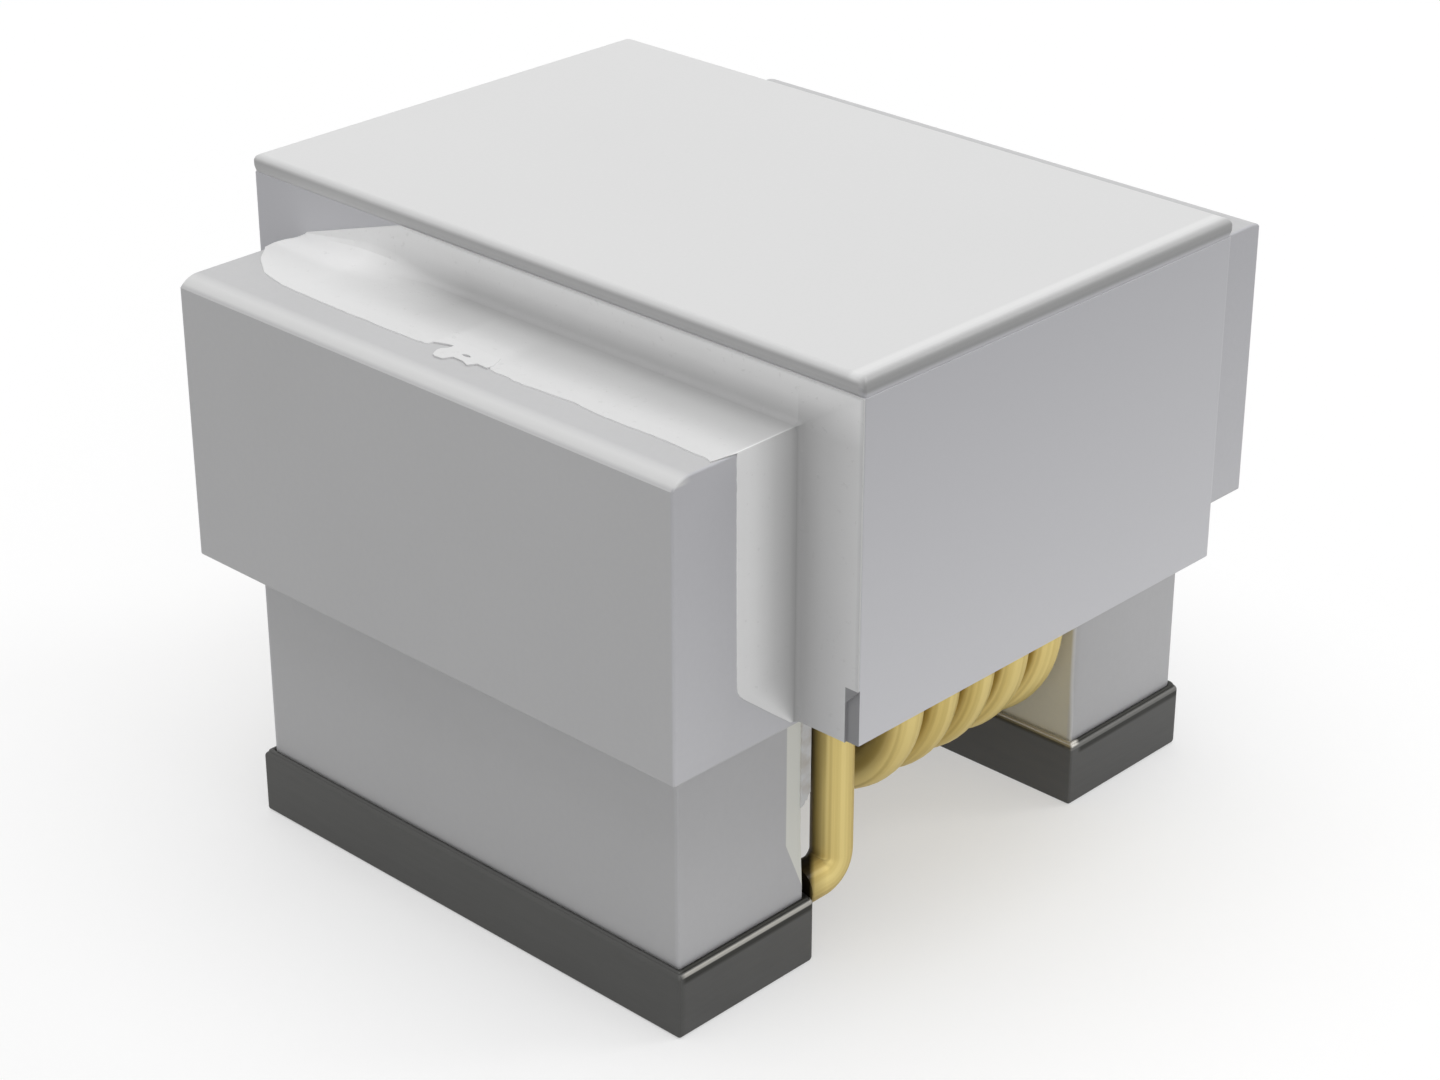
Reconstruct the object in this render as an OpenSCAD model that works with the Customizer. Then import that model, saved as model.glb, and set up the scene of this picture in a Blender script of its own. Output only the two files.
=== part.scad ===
// Wire-wound chip inductor of the 1008 size (2520 metric), for surface mounting.
// A one-piece ceramic core has two flanged end blocks on legs, joined by a web.
// One enamelled wire is wound round the web, and its two ends come down to the terminals.
// Metal terminals cap the feet, and a moulded cap is bonded over the top with resin.
// X runs along the core from the front terminal to the rear one, Z is up from the board,
// and the origin is the middle of the footprint, on the board.

/* [Core] */
// Length over the two end flanges
core_l = 2.92; // [2.7:0.02:3.2]
// Width of the end flanges
flange_w = 2.3; // [2.2:0.02:2.5]
// Height of the flanges' undersides above the board
flange_z0 = 1.04; // [0.9:0.02:1.2]
// Height of the flanges' tops above the board
flange_z1 = 2.07; // [1.98:0.01:2.2]
// Length over which each flange's outer top edge is eased off by a shallow arc
flange_edge_l = 0.075; // [0.05:0.005:0.12]
// How far that arc has fallen at the flange's outer face
flange_edge_d = 0.035; // [0.02:0.005:0.05]
// Radius of each flange's outer upright edges
flange_corner_r = 0.02; // [0.01:0.005:0.05]
// Length of each leg along the core
leg_l = 0.587; // [0.5:0.01:0.64]
// Width of each leg
leg_w = 2.02; // [1.9:0.02:2.2]
// How far each leg stands back from its flange's outer face
leg_setback = 0.158; // [0.08:0.01:0.24]
// Length of the chamfer on the front leg's inner upright edges, along the core
chamfer_l = 0.085; // [0.05:0.005:0.2]
// Length of the chamfer on the rear leg's inner upright edges
rear_chamfer_l = 0.03; // [0.02:0.005:0.2]
// Depth of both chamfers, across the core
chamfer_d = 0.01; // [0.008:0.001:0.05]
// Height of a chamfer's lower end, where it has run out
chamfer_z0 = 0.28; // [0.27:0.01:0.42]
// Height over which a chamfer runs out to nothing
chamfer_runout = 0.2; // [0.08:0.01:0.24]
// Width of the web that carries the winding
web_w = 1.757; // [1.6:0.01:1.8]
// Height of the web
web_h = 1.302; // [1.2:0.01:1.4]
// Height of the web's middle above the board
web_z = 1.078; // [1.02:0.01:1.1]
// Radius of the web's four long edges
web_r = 0.327; // [0.15:0.01:0.45]

/* [Winding] */
// Diameter of the enamelled wire
wire_d = 0.147; // [0.1:0.005:0.155]
// Room between the wire and the web that it is wound on
wire_seat = 0.003; // [0.001:0.001:0.01]
// Gap between neighbouring turns
turn_gap = 0.04; // [0.02:0.001:0.08]
// Gap between the front lead and the first turn, where the web stays bare
lead_gap = 0.207; // [0.002:0.005:0.3]
// Gap between the last turn and the rear flange
rear_gap = 0.054; // [0.04:0.002:0.1]
// Least gap between the first lead and the front flange
front_gap = 0.05; // [0.03:0.005:0.1]
// Radius of the bend in the front lead, at the middle of the wire
lead_bend_r = 0.08; // [0.075:0.005:0.12]
// Straight length of the rear lead, between its bend and the terminal
rear_lead_l = 0.004; // [0.002:0.001:0.006]
// How far the middle of a lead's end lies below the terminal's top
lead_drop = 0; // [0:0.005:0.08]

/* [Terminals] */
// Height of the metal terminals
terminal_h = 0.25; // [0.2:0.01:0.3]
// Thickness of a terminal's walls round the leg
terminal_wall = 0.03; // [0.02:0.005:0.05]
// Thickness of a terminal's base under the leg
terminal_base = 0.03; // [0.02:0.005:0.06]
// Radius of a terminal's outer edges
terminal_edge_r = 0.022; // [0.01:0.002:0.03]

/* [Cap] */
// Length of the cap along the core
cap_l = 1.83; // [1.6:0.02:2.0]
// Width of the cap
cap_w = 2.822; // [2.7:0.02:3.0]
// Height of the cap's lower edge above the board
cap_z0 = 1.06; // [0.95:0.01:1.2]
// Height of the cap's flat top above the board
cap_z1 = 2.3; // [2.27:0.01:2.5]
// Depth of the rolled rim round the cap's top
rim_h = 0.068; // [0.064:0.002:0.1]
// How far that rim stands out from the walls below it
rim_step = 0.004; // [0.002:0.001:0.01]
// Radius of the rim's upper and lower edges
rim_r = 0.03; // [0.02:0.002:0.032]
// How far the rim's lower edge is sunk into the walls, which leaves a fine groove round it
rim_sink = 0.005; // [0.003:0.001:0.01]
// Radius of the cap's upright edges
cap_corner_r = 0.02; // [0.012:0.002:0.05]
// Width of the notch at the cap's lower front corner
notch_w = 0.06; // [0.03:0.005:0.1]
// Height of that notch at the corner
notch_h = 0.2; // [0.1:0.01:0.3]
// Depth of that notch
notch_d = 0.015; // [0.01:0.001:0.03]

/* [Resin fillets] */
// Thickness of the bond between the cap and the flanges
bond_gap = 0.005; // [0.002:0.001:0.02]
// Thickness of the resin that has run out over a flange
resin_t = 0.01; // [0.006:0.002:0.04]
// How far the resin reaches over a flange's top, from the cap's end
resin_reach = 0.36; // [0.2:0.01:0.4]
// How far the resin reaches along a flange's side, from the cap's end
resin_side_reach = 0.275; // [0.2:0.01:0.35]
// Height of the wave in the resin's free edge
resin_wave = 0.012; // [0.004:0.002:0.02]
// Length of that wave
resin_wave_l = 0.9; // [0.5:0.05:1.5]
// Radius of the resin's rounded end on a flange's top
resin_end_r = 0.18; // [0.08:0.01:0.2]
// How far the resin slopes out from the cap's end at the foot of the slope
resin_slope = 0.03; // [0.02:0.005:0.1]
// How far the lower edge of the side resin climbs away from the cap
resin_climb = 0.19; // [0.1:0.01:0.3]
// Radius of the side resin's lower corner
resin_side_r = 0.06; // [0.03:0.01:0.1]
// Width over which the resin falls short of the rim, at its thin end
resin_bare_w = 0.757; // [0.4:0.02:0.9]
// Depth of the resin over the flange's top corner, at its thin end
resin_thin = 0.01; // [0.006:0.002:0.04]

/* [Hidden] */

// Fineness of round edges, sides of the wire, and steps in its bends and in the resin's edge
round_fn = 48;
wire_sides = 10;
corner_steps = 7;
bend_steps = 6;
edge_steps = 40;
// Overshoot of cutting shapes
cut = 0.1;
// Largest share of a terminal's wall that its rounded edges may take
edge_share = 0.75;
// Ripple on the wave in the resin's edge: share of its height, and how many times as fine
ripple_h = 0.5;
ripple_n = 2.5;

// Inner faces of the end blocks and of the terminals
inner_x = core_l / 2 - leg_setback - leg_l;
leg_x = core_l / 2 - leg_setback - leg_l / 2;
pad_x = inner_x - terminal_wall;

// Middle line of the wire round the web
wire_off = wire_seat + wire_d / 2;
coil_y = web_w / 2 + wire_off;
coil_top = web_z + web_h / 2 + wire_off;
coil_bottom = web_z - web_h / 2 - wire_off;
coil_r = web_r + wire_off;

// Places of the turns along the core: the front lead stands apart from the first turn
turn_pitch = wire_d + turn_gap;
lead_step = wire_d + lead_gap;
last_x = inner_x - rear_gap - wire_d / 2;
turns_room = last_x + inner_x - front_gap - wire_d / 2 - lead_step;
turn_steps = floor(turns_room / turn_pitch);
lead_x = last_x - turn_steps * turn_pitch - lead_step;
lead_z = terminal_h - lead_drop;
rear_bend_r = pad_x - rear_lead_l - last_x;

// Ends of the cap's walls, below its rim
wall_x = cap_l / 2 - rim_step;
wall_y = cap_w / 2 - rim_step;
wall_z = cap_z1 - rim_h + rim_sink;

// Side of a flange, foot of the resin on it, and the line on the cap's end where the resin falls
// short of the rim
flange_y = flange_w / 2;
resin_z0 = max(cap_z0, flange_z0);
thin_y = wall_y - resin_bare_w;
resin_fall = (wall_z - flange_z1 - resin_thin) / (flange_y - thin_y);

// Rectangle with four rounded corners, round the origin
module soft_rect(size, r) {
    square([size.x - 2 * r, size.y], center = true);
    square([size.x, size.y - 2 * r], center = true);
    for (sx = [-1, 1], sy = [-1, 1])
        translate([sx * (size.x / 2 - r), sy * (size.y / 2 - r)])
            circle(r, $fn = round_fn);
}

// Extrusions of a flat outline along x and along y, centred on the origin
module along_x(l) rotate([90, 0, 90]) linear_extrude(l, center = true) children();
module along_y(l) rotate([90, 0, 0]) linear_extrude(l, center = true) children();

// Block round the origin whose edges are rounded: the upright ones by corner_r, the others by edge_r
module soft_block(size, corner_r, edge_r) {
    intersection() {
        linear_extrude(size.z, center = true) soft_rect([size.x, size.y], corner_r);
        along_x(size.x) soft_rect([size.y, size.z], edge_r);
        along_y(size.y) soft_rect([size.x, size.z], edge_r);
    }
}

// Outline of one flange seen from the side, with its outer top edge eased off by a shallow arc
module flange_outline() {
    out_x = core_l / 2;
    arc_x = out_x - flange_edge_l;
    arc_r = (flange_edge_l ^ 2 + flange_edge_d ^ 2) / (2 * flange_edge_d);
    intersection() {
        translate([inner_x, flange_z0]) square([out_x - inner_x, flange_z1 - flange_z0 + cut]);
        union() {
            square([arc_x, flange_z1]);
            square([out_x + cut, flange_z1 - arc_r]);
            translate([arc_x, flange_z1 - arc_r]) circle(arc_r, $fn = round_fn);
        }
    }
}

// Outline of one flange seen from above, with its outer upright edges rounded
module flange_plan() {
    out_x = core_l / 2;
    r = flange_corner_r;
    translate([inner_x, -flange_y]) square([out_x - inner_x - r, flange_w]);
    translate([inner_x, -flange_y + r]) square([out_x - inner_x, flange_w - 2 * r]);
    for (sy = [-1, 1])
        translate([out_x - r, sy * (flange_y - r)]) circle(r, $fn = round_fn);
}

// Wedge that takes off a leg's inner upright edge over the length l and runs out above the foot
module leg_chamfer(l) {
    x0 = inner_x - cut;
    x1 = inner_x + l;
    y0 = leg_w / 2 - chamfer_d * (1 + cut / l);
    y1 = leg_w / 2;
    z1 = chamfer_z0 + chamfer_runout;
    translate([0, 0, z1])
        linear_extrude(flange_z0 - z1)
            polygon([[x0, y0], [x1, y1], [x1, y1 + cut], [x0, y1 + cut]]);
    polyhedron(
        points = [[x0, y0, z1], [x1, y1, z1], [x1, y1 + cut, z1], [x0, y1 + cut, z1],
                  [inner_x, y1, chamfer_z0], [inner_x, y1 + cut, chamfer_z0],
                  [x0, y1 + cut, chamfer_z0], [x0, y1, chamfer_z0]],
        faces = [[0, 3, 2, 1], [0, 1, 4], [0, 4, 7], [1, 2, 5, 4], [2, 3, 6, 5], [3, 0, 7, 6],
                 [4, 5, 6, 7]]);
}

// Flange and leg at the +x end, with chamfers of the length l
module end_block(l) {
    intersection() {
        along_y(flange_w) flange_outline();
        linear_extrude(flange_z1) flange_plan();
    }
    difference() {
        translate([inner_x, -leg_w / 2, terminal_base])
            cube([leg_l, leg_w, flange_z0 - terminal_base + flange_corner_r]);
        leg_chamfer(l);
        mirror([0, 1, 0]) leg_chamfer(l);
    }
}

module ceramic_core() {
    color([0.66, 0.66, 0.67]) {
        end_block(rear_chamfer_l);
        rotate([0, 0, 180]) end_block(chamfer_l);
        translate([0, 0, web_z]) along_x(2 * inner_x + cut) soft_rect([web_w, web_h], web_r);
    }
}

// Place on an arc in the plane across the core: middle, radius and angle
function on_arc(x, y, z, r, a) = [x, y + r * cos(a), z + r * sin(a)];

// Points of such an arc from its first to its last angle
function arc(x, y, z, r, a0, a1, n) =
    [for (i = [0:n]) on_arc(x, y, z, r, a0 + (a1 - a0) * i / n)];

// Half a turn over the top, from the -y side to the +y side
function over_top(x) = concat(
    arc(x, -coil_y + coil_r, coil_top - coil_r, coil_r, 180, 90, corner_steps),
    arc(x, coil_y - coil_r, coil_top - coil_r, coil_r, 90, 0, corner_steps));

// Soft start and stop between 0 and 1
function ease(t) = t * t * (3 - 2 * t);

// Half a turn under the web, from +y to -y, that moves on from x0 to x1 round the +y edge
function under_web(x0, x1) = concat(
    [for (i = [0:corner_steps]) let (t = i / corner_steps)
        on_arc(x0 + (x1 - x0) * ease(t), coil_y - coil_r, coil_bottom + coil_r, coil_r, -90 * t)],
    arc(x1, -coil_y + coil_r, coil_bottom + coil_r, coil_r, -90, -180, corner_steps));

// Lead on the side y, from the terminal's inner face at end_x round a bend up to the turn at x
function lead(x, y, end_x, r) =
    let (s = sign(end_x - x), z = lead_z + r, mid = x + s * r)
    concat([[end_x, y, lead_z]],
        [for (i = [0:bend_steps]) let (a = 90 * i / bend_steps)
            [mid - s * r * sin(a), y, z - r * cos(a)]]);

function turn_x(k) = k == 0 ? lead_x : lead_x + lead_step + (k - 1) * turn_pitch;

// The whole wire: front lead, turns from front to rear, rear lead
function wire_path() =
    let (n = turn_steps + 1, rear = lead(turn_x(n), coil_y, pad_x, rear_bend_r))
    concat(lead(lead_x, -coil_y, -pad_x, lead_bend_r),
        [for (k = [0:n - 1]) each concat(over_top(turn_x(k)), under_web(turn_x(k), turn_x(k + 1)))],
        over_top(turn_x(n)),
        [for (i = [len(rear) - 1:-1:0]) rear[i]]);

function unit(v) = v / norm(v);
function along(p, i) = unit(p[min(i + 1, len(p) - 1)] - p[max(i - 1, 0)]);
function across(u, t) = unit(u - (u * t) * t);

// Round rod along a list of points, its rings carried along without twist
module rod(p, r, sides) {
    n = len(p);
    t = [for (i = [0:n - 1]) along(p, i)];
    u = [for (i = 0, v = across([0, 1, 0], t[0]); i < n;
              i = i + 1, v = i < n ? across(v, t[i]) : v) v];
    rings = [for (i = [0:n - 1]) let (w = cross(t[i], u[i]))
        for (k = [0:sides - 1]) let (a = 360 * k / sides)
            p[i] + r * (cos(a) * u[i] + sin(a) * w)];
    walls = [for (i = [0:n - 2], k = [0:sides - 1])
        let (a = i * sides + k, b = i * sides + (k + 1) % sides)
        each [[a, b + sides, b], [a, a + sides, b + sides]]];
    first = [for (k = [0:sides - 1]) k];
    last = [for (k = [sides - 1:-1:0]) (n - 1) * sides + k];
    polyhedron(rings, concat([first], walls, [last]));
}

module winding() {
    color([0.77, 0.66, 0.36]) rod(wire_path(), wire_d / 2, wire_sides);
}

// Metal cup round the foot of the leg at the +x end
module terminal() {
    size = [leg_l + 2 * terminal_wall, leg_w + 2 * terminal_wall, terminal_h];
    r = min(terminal_edge_r, edge_share * terminal_wall);
    color([0.33, 0.33, 0.33])
    difference() {
        translate([leg_x, 0, terminal_h / 2]) soft_block(size, r, r);
        translate([inner_x, -leg_w / 2, terminal_base]) cube([leg_l, leg_w, terminal_h]);
    }
}

module rear_terminal() terminal();

module front_terminal() rotate([0, 0, 180]) terminal();

// Block that the notch takes out of the cap's lower front corner
module corner_notch() {
    top = cap_z0 + notch_h;
    translate([-wall_x + notch_d, -wall_y, 0])
        rotate([90, 0, -90])
            linear_extrude(notch_d + resin_slope + cut)
                polygon([[-notch_w, cap_z0 - cut], [cut, cap_z0 - cut], [cut, top],
                         [0, top], [-notch_w, top - notch_w]]);
}

// Moulded cap: a saddle over both flanges, with a rolled rim round its flat top
module top_cap() {
    channel = [flange_w + 2 * bond_gap, flange_z1 + bond_gap];
    color([0.75, 0.75, 0.77])
    difference() {
        union() {
            translate([0, 0, cap_z0])
                linear_extrude(wall_z - cap_z0)
                    soft_rect([2 * wall_x, 2 * wall_y], cap_corner_r - rim_step);
            translate([0, 0, cap_z1 - rim_h / 2])
                soft_block([cap_l, cap_w, rim_h], cap_corner_r, rim_r);
        }
        translate([-cap_l, -channel.x / 2, 0]) cube([2 * cap_l, channel.x, channel.y]);
        corner_notch();
    }
}

// Reach of the resin over the front flange's top at a place across the core
function resin_edge(y) =
    let (from_end = flange_y - y, a = 360 * y / resin_wave_l,
         full = resin_reach + resin_wave * (sin(a) + ripple_h * sin(ripple_n * a)))
    from_end >= resin_end_r ? full
        : full - resin_end_r + sqrt(max(0, resin_end_r ^ 2 - (resin_end_r - from_end) ^ 2));

// Place on the cap's end where the resin that covers the flange's top stops: full height up to
// thin_y, and a falling edge from there to the cap's +y side
function resin_rim(y) =
    y < thin_y ? [-wall_y + (y + flange_y) * (thin_y + wall_y) / (thin_y + flange_y), wall_z]
        : [y, wall_z - resin_fall * (y - thin_y)];

// Stations of the resin round the front flange, up its -y side, over its top and down its +y side.
// Each holds a place on the flange, the way out from it, the reach along x and the place on the cap
function resin_stations() =
    let (r = resin_side_r, bend_z = resin_z0 + resin_climb, lip = resin_slope + resin_t,
         rise = (wall_z - resin_z0) / (flange_z1 - resin_z0),
         side = concat([[resin_z0, lip]],
             [for (i = [0:bend_steps]) let (a = 90 * i / bend_steps)
                 [bend_z + r * (1 - cos(a)), resin_side_reach - r * (1 - sin(a))]]),
         thin_z = wall_z - resin_fall * resin_bare_w)
    concat(
        [for (q = side) [[-flange_y, q[0]], [-1, 0], q[1], [-wall_y, resin_z0 + rise * (q[0] - resin_z0)]]],
        [[[-flange_y, flange_z1], [-1, 1], resin_side_reach, [-wall_y, wall_z]]],
        [for (i = [1:edge_steps - 1]) let (y = flange_y * (2 * i / edge_steps - 1))
            [[y, flange_z1], [0, 1], resin_edge(y), resin_rim(y)]],
        [[[flange_y, flange_z1], [0, 1], resin_edge(flange_y), [wall_y, thin_z]]],
        [[[flange_y, resin_z0], [1, 0], lip, [wall_y, resin_z0]]]);

// Resin along the joint of the front flange and the cap's end, as a strip through its stations:
// a thin sheet on the flange, and a slope from there out to the edges of the cap's end
module resin_fillet() {
    st = resin_stations();
    n = len(st);
    points = concat(
        [for (q = st) [-wall_x - q[2], q[0].x, q[0].y]],
        [for (q = st) [-wall_x - q[2], q[0].x + resin_t * q[1].x, q[0].y + resin_t * q[1].y]],
        [for (q = st) [-wall_x - resin_slope, q[0].x + resin_t * q[1].x, q[0].y + resin_t * q[1].y]],
        [for (q = st) [-wall_x, q[3].x, q[3].y]],
        [for (q = st) [-wall_x, q[0].x, q[0].y]]);
    lanes = len(points) / n;
    strips = [for (k = [0:lanes - 1], i = [0:n - 2])
        let (a = k * n + i, b = (k + 1) % lanes * n + i) each [[a, a + 1, b + 1], [a, b + 1, b]]];
    first = [for (k = [0:lanes - 1]) k * n];
    last = [for (k = [lanes - 1:-1:0]) k * n + n - 1];
    color([0.86, 0.86, 0.85]) polyhedron(points, concat([first], strips, [last]));
}

module front_resin_fillet() {
    difference() {
        resin_fillet();
        corner_notch();
    }
}

module rear_resin_fillet() rotate([0, 0, 180]) resin_fillet();

ceramic_core();
winding();
front_terminal();
rear_terminal();
top_cap();
front_resin_fillet();
rear_resin_fillet();
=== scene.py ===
# %% [markdown]
# # A wire-wound chip inductor, three millimetres long
#
# The part is a ceramic core on two legs. Metal terminals cap the feet, one enamelled wire is wound
# round the web between the legs, and a moulded cap is bonded over the top with resin.
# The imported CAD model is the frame: it gives every place and size, and this lesson dresses it.

# %% Load the frame
import math

import bmesh
import bpy
from mathutils import Matrix, Vector, kdtree, noise


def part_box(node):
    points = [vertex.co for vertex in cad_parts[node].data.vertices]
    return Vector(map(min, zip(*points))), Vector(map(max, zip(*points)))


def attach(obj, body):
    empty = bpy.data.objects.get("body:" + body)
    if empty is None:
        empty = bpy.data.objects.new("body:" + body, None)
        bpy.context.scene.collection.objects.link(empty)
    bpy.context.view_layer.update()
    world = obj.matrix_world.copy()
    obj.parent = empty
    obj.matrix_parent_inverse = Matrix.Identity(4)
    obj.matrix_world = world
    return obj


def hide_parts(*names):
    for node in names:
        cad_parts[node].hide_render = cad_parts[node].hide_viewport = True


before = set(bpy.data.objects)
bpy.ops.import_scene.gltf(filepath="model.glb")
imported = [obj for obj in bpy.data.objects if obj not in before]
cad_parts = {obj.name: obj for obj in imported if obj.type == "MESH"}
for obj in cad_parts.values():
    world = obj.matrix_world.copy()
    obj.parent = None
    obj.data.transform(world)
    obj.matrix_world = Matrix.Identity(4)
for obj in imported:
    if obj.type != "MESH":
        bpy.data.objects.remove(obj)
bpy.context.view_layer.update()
print("nodes:", sorted(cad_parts))

# %% [markdown]
# Many of Blender's operators work to a fixed threshold of about a tenth of a millimetre, which is
# most of a wire on this part. So every piece is modelled at one unit to the millimetre, and its
# mesh is brought down to metres as the very last step.

# %% Millimetres
MM = 0.001
TINY = 1e-4


def box_mm(node):
    """Lowest and highest corner of a CAD node, in millimetres."""
    lo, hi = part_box(node)
    return Vector(lo) / MM, Vector(hi) / MM


core_lo, core_hi = box_mm("ceramic_core")
cap_lo, cap_hi = box_mm("top_cap")
print("core", [round(s, 3) for s in core_hi - core_lo], "mm")

# %% [markdown]
# An operator acts on all that is selected, and the loaded nodes are still selected. These small
# helpers select nothing, one object, or the faces, edges or points of it that pass a test on their
# place.


# %% Helpers for selecting
def clear():
    """Leave edit mode and select nothing."""
    if bpy.context.object and bpy.context.object.mode != "OBJECT":
        bpy.ops.object.mode_set(mode="OBJECT")
    bpy.ops.object.select_all(action="DESELECT")


def only(obj):
    """Make obj the one selected and active object, in object mode."""
    clear()
    obj.select_set(True)
    bpy.context.view_layer.objects.active = obj


def edit(obj, mode="FACE"):
    """Open obj in edit mode with nothing selected, and hand back its mesh."""
    if obj.mode != "EDIT":
        only(obj)
        bpy.ops.object.mode_set(mode="EDIT")
    bpy.ops.mesh.select_mode(type=mode)
    bpy.ops.mesh.select_all(action="DESELECT")
    return bmesh.from_edit_mesh(obj.data)


def edit_all(obj):
    """Open obj in edit mode with everything selected."""
    edit(obj)
    bpy.ops.mesh.select_all(action="SELECT")


def select(obj, chosen):
    """Select these faces, edges or points."""
    for item in chosen:
        item.select_set(True)
    bmesh.update_edit_mesh(obj.data)


def near(a, b):
    """Whether two places are the same, to a ten-thousandth of a millimetre."""
    return abs(a - b) < TINY


def pick_faces(obj, test):
    """Select the faces whose middle and normal pass the test."""
    mesh = edit(obj, "FACE")
    select(obj, [f for f in mesh.faces if test(f.calc_center_median(), f.normal)])


def pick_edges_along(obj, axis, test=lambda p: True):
    """Select the edges that run along one axis and whose ends pass the test."""
    mesh = edit(obj, "EDGE")
    across = [k for k in range(3) if "xyz"[k] != axis]
    select(obj, [e for e in mesh.edges if all(test(v.co) for v in e.verts)
                 and all(near(e.verts[0].co[k], e.verts[1].co[k]) for k in across)])


def pick_points(obj, test):
    """Select the points that pass the test."""
    mesh = edit(obj, "VERT")
    select(obj, [v for v in mesh.verts if test(v.co)])


# %% [markdown]
# A box is where most of the pieces start. A bisect through the whole mesh marks where the next
# extrusion begins and ends, as a cut line drawn round a block of wood would.


# %% Helpers for shaping
def added(name):
    """Name the object that an operator has just added, and hand it back."""
    obj = bpy.context.object
    obj.name = obj.data.name = name
    return obj


def block(name, lo, hi):
    """A box between two corners, with its place in its mesh."""
    clear()
    lo, hi = Vector(lo), Vector(hi)
    bpy.ops.mesh.primitive_cube_add(size=1, location=(lo + hi) / 2, scale=hi - lo)
    bpy.ops.object.transform_apply(location=True, rotation=True, scale=True)
    return added(name)


def cut(obj, axis, at):
    """Bisect the whole mesh by a plane across one axis."""
    edit_all(obj)
    normal = Vector([float(axis == name) for name in "xyz"])
    bpy.ops.mesh.bisect(plane_co=normal * at, plane_no=normal, threshold=1e-5)


def extrude(move):
    """Extrude what is selected and move it."""
    bpy.ops.mesh.extrude_region_move(TRANSFORM_OT_translate={"value": move})


def round_edges(radius, segments=14):
    """Round the selected edges."""
    bpy.ops.mesh.bevel(offset=radius, segments=segments, profile=0.5, affect="EDGES", clamp_overlap=False)


def turn_round(obj):
    """Turn the mesh half round about the upright axis."""
    edit_all(obj)
    bpy.ops.transform.rotate(value=math.pi, orient_axis="Z", center_override=(0, 0, 0))
    bpy.ops.object.mode_set(mode="OBJECT")


def face_outwards():
    """Turn all faces of the open mesh outwards and leave edit mode."""
    bpy.ops.mesh.select_all(action="SELECT")
    bpy.ops.mesh.normals_make_consistent(inside=False)
    bpy.ops.object.mode_set(mode="OBJECT")


def apply_modifier(obj, kind, **settings):
    """Add a modifier with its settings and apply it."""
    only(obj)
    modifier = obj.modifiers.new(kind.lower(), kind)
    for name, value in settings.items():
        setattr(modifier, name, value)
    bpy.ops.object.modifier_apply(modifier=modifier.name)


def boolean(obj, other, operation, keep=False):
    """Join obj with another mesh, or cut the other from it."""
    apply_modifier(obj, "BOOLEAN", object=other, operation=operation, solver="EXACT")
    if not keep:
        bpy.data.objects.remove(other)


# %% [markdown]
# A finished mesh gets its shading and is brought down to metres. Smooth shading by angle hides the
# facets of the round parts, and weighted normals keep the large flat faces flat.


# %% Helpers for the last step
def shade(obj, angle):
    """Smooth shading with a limit, and normals that follow the large faces."""
    only(obj)
    bpy.ops.object.shade_smooth_by_angle(angle=math.radians(angle))
    apply_modifier(obj, "WEIGHTED_NORMAL", mode="FACE_AREA", weight=50, keep_sharp=True)


def place(obj, node):
    """Bring a finished mesh down to metres and let it stand for its CAD node."""
    only(obj)
    obj.data.transform(Matrix.Scale(MM, 4))
    obj.data.update()
    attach(obj, "root")
    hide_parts(node)
    print(obj.name, len(obj.data.vertices), "points", len(obj.data.polygons), "faces")


# %% [markdown]
# ## The ceramic core
#
# The core is pressed from powder and fired, so it is one piece: two end blocks, each a wide flange
# on a narrower leg, joined by a web. It could be drawn as an outline and extruded, but the legs are
# narrower than the flanges both ways. So a block is cut where the leg begins and ends, and the face
# that is left between the cuts is pulled down.

# %% End blocks
FLANGE_FOOT = 1.04
INNER_X = 0.715
LEG_OUT_X = 1.302
LEG_Y = 1.01
CHAMFER_TOP = 0.48
CHAMFER_TIP = 0.28


def end_block(name, chamfer_l):
    """The front flange and its leg, with the cut lines for a chamfer of that length."""
    obj = block(name, (core_lo.x, core_lo.y, FLANGE_FOOT), (-INNER_X, core_hi.y, core_hi.z))
    for axis, at in (("x", -LEG_OUT_X), ("x", -INNER_X - chamfer_l), ("y", -LEG_Y), ("y", LEG_Y)):
        cut(obj, axis, at)
    pick_faces(obj, lambda c, n: n.z < -0.9 and c.x > -LEG_OUT_X and abs(c.y) < LEG_Y)
    extrude((0, 0, core_lo.z - FLANGE_FOOT))
    for height in (CHAMFER_TOP, CHAMFER_TIP):
        cut(obj, "z", height)
    return obj


print("leg", round(LEG_OUT_X - INNER_X, 3), "by", 2 * LEG_Y, "mm")

# %% [markdown]
# The legs' inner upright edges have a shallow chamfer that runs out above the foot. The cut lines
# are there already, so the edge only has to move inwards above the run-out, and one more edge
# from the chamfer's corner to its tip makes the last facet flat. The front flange's outer top edge is
# eased off by a shallow arc: a few cut lines, each lowered a little more than the one before. The
# rear one is eased much less.

# %% Chamfer and eased edge
CHAMFER_D = 0.01
EDGE_STEPS = 6


def chamfer_leg(obj, chamfer_l):
    """Move the leg's inner upright edges in and join each chamfer's corner to its tip."""
    pick_points(obj, lambda p: near(p.x, -INNER_X) and near(abs(p.y), LEG_Y)
                and CHAMFER_TOP - TINY < p.z < FLANGE_FOOT + TINY)
    bpy.ops.transform.resize(value=(1, 1 - CHAMFER_D / LEG_Y, 1), center_override=(0, 0, 0))
    for side in (-1, 1):
        tip = Vector((-INNER_X, side * LEG_Y, CHAMFER_TIP))
        corner = Vector((-INNER_X - chamfer_l, side * LEG_Y, CHAMFER_TOP))
        pick_points(obj, lambda p: min((p - tip).length, (p - corner).length) < TINY)
        bpy.ops.mesh.vert_connect()


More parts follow.
